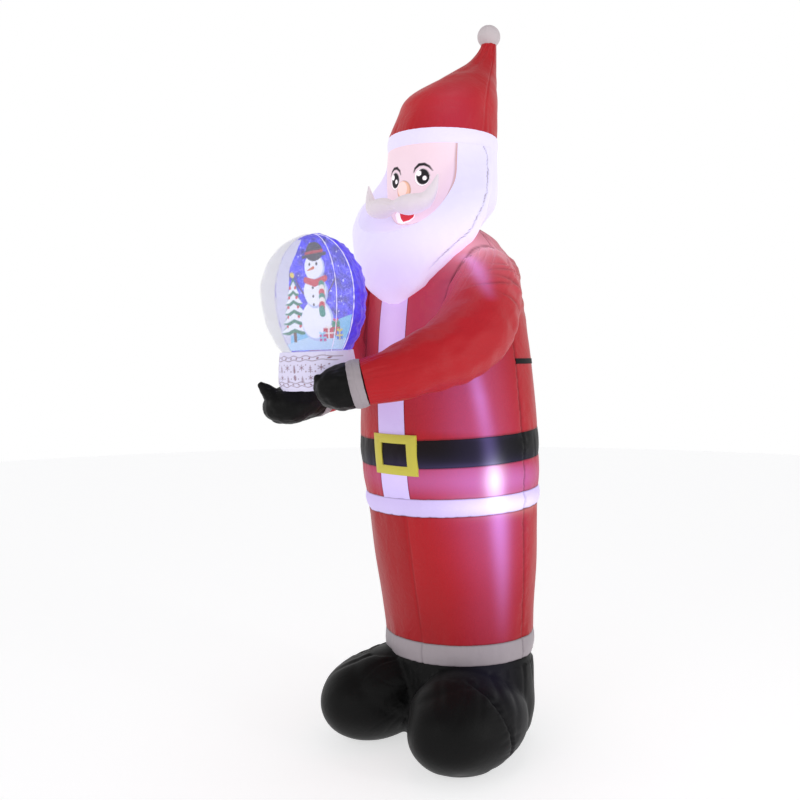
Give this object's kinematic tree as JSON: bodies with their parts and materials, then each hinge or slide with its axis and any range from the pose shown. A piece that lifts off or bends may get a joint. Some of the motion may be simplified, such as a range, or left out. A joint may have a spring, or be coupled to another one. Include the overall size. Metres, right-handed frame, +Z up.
{
  "type": "inflatable santa holding a snow globe",
  "caption": "Tall standing inflatable santa in a red coat and long pointed hat, holding a clear snow globe on a soft base in both mittened hands.",
  "frame": {"origin": "on the ground, in the flat underside of the boots, below the middle of the coat's hem", "axes": "+Z up through the pompom, -Y the way the santa faces, +X his left side"},
  "size_m": [1.1962, 1.5002, 3.63],
  "materials": {
    "red_taffeta": "satin polyester cloth",
    "white_taffeta": "satin polyester cloth",
    "black_taffeta": "satin polyester cloth",
    "blue_taffeta": "satin polyester cloth",
    "yellow_taffeta": "satin polyester cloth",
    "skin_taffeta": "satin polyester cloth",
    "clear_film": "clear vinyl film",
    "black_webbing": "woven webbing"
  },
  "bodies": {
    "root": {"boots": "black_taffeta", "hem_trim": "white_taffeta", "coat_skirt": "red_taffeta", "waist_trim": "white_taffeta", "coat_waist": "red_taffeta", "belt": "black_taffeta", "coat_chest": "red_taffeta", "placket_lower": "white_taffeta", "placket_upper": "white_taffeta", "buckle": "yellow_taffeta", "tether_strap": "black_webbing", "head_and_beard": "white_taffeta", "face": "skin_taffeta", "moustache": "white_taffeta", "hat_band": "white_taffeta", "hat": "red_taffeta", "pompom": "white_taffeta", "sleeve_left": "red_taffeta", "sleeve_right": "red_taffeta", "cuff_left": "white_taffeta", "cuff_right": "white_taffeta", "mitten_left": "black_taffeta", "mitten_right": "black_taffeta", "globe_window": "clear_film", "globe_back": "blue_taffeta", "globe_base": "white_taffeta"}
  },
  "joints": []
}
